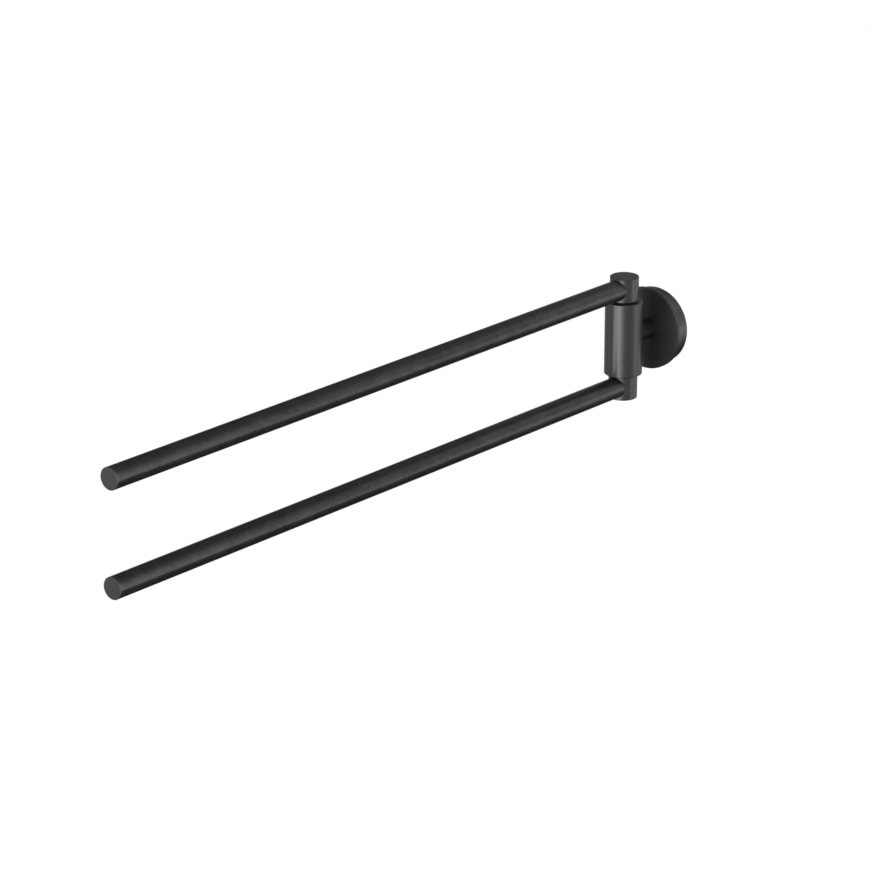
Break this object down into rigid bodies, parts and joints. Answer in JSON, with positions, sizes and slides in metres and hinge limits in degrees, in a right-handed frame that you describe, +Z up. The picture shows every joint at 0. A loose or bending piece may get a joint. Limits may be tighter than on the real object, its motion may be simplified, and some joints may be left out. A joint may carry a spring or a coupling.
{
  "type": "swivel towel rack",
  "caption": "Wall-fixed swivel towel rack: a round rose and short stem carry an upright hinge barrel, and long tubular arms swing sideways on its top and bottom ends.",
  "frame": {"origin": "centre of the rose's back face, on the wall", "axes": "+Z up, +Y into the wall, -Y along both arms at rest, +X to the right seen from the room"},
  "size_m": [0.0476, 0.445, 0.0718],
  "materials": {
    "satin_black": "satin black coating over brushed metal",
    "black_steel": "blackened screw steel",
    "zinc_steel": "zinc-plated",
    "black_nylon": "moulded black nylon",
    "brass": "turned brass",
    "rubber": "black nitrile rubber"
  },
  "bodies": {
    "wall_mount": {"wall_bracket": "satin_black", "rose_plate": "satin_black", "rose_set_screw": "black_steel", "stem": "satin_black", "stem_bolt": "black_steel", "stem_lock_washer": "zinc_steel", "hinge_barrel": "satin_black", "upper_bush": "black_nylon", "lower_bush": "black_nylon", "upper_stop_screw": "black_steel", "lower_stop_screw": "black_steel"},
    "upper_arm": {"upper_head": "satin_black", "upper_tube": "satin_black", "upper_insert": "brass", "upper_stud": "black_steel", "upper_end_cap": "satin_black", "upper_friction_ring": "rubber"},
    "lower_arm": {"lower_head": "satin_black", "lower_tube": "satin_black", "lower_insert": "brass", "lower_stud": "black_steel", "lower_end_cap": "satin_black", "lower_friction_ring": "rubber"}
  },
  "joints": [
    {"name": "upper_swing", "type": "hinge", "parent": "wall_mount", "child": "upper_arm", "pos_m": [0, -0.0305, 0.0288], "axis": [0, 0, 1], "range_deg": [-90, 90]},
    {"name": "lower_swing", "type": "hinge", "parent": "wall_mount", "child": "lower_arm", "pos_m": [0, -0.0305, -0.0288], "axis": [0, 0, 1], "range_deg": [-90, 90]}
  ]
}
